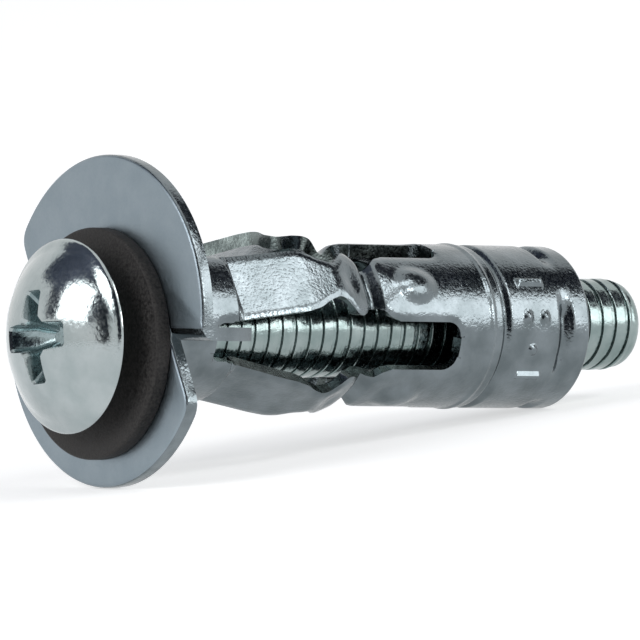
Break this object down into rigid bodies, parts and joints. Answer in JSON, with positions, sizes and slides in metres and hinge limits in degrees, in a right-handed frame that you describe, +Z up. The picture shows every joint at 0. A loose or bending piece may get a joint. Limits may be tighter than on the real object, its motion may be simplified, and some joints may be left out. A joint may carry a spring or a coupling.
{
  "type": "hollow wall anchor",
  "caption": "Metal hollow wall anchor: slotted folding sleeve with a toothed flange, pan-head machine screw and rubber washer, lying on its side.",
  "frame": {"origin": "on the ground, under the middle of the object's length and width", "axes": "+X along the object from the screw's head to its tip, seen from above; +Z up; -Y towards the side that the picture shows"},
  "size_m": [0.0304, 0.0134, 0.0134],
  "materials": {
    "zinc_plated_steel": "bright zinc plated",
    "black_rubber": "matt black"
  },
  "bodies": {
    "sleeve_body": {"sleeve": "zinc_plated_steel", "nut": "zinc_plated_steel"},
    "washer_body": {"washer": "black_rubber"},
    "screw_body": {"screw": "zinc_plated_steel"}
  },
  "joints": [
    {"name": "screw_travel", "type": "slide", "parent": "sleeve_body", "child": "washer_body", "axis": [-0.9926, 0, 0.1218], "range_m": [0, 0.008]},
    {"name": "screw_turn", "type": "hinge", "parent": "washer_body", "child": "screw_body", "pos_m": [0.00804, 0, 0.00378], "axis": [-0.9926, 0, 0.1218], "range_deg": [0, 4115]}
  ],
  "couplings": [
    {"joint": "screw_turn", "follows": "screw_travel", "rad_per_m": 8976}
  ]
}
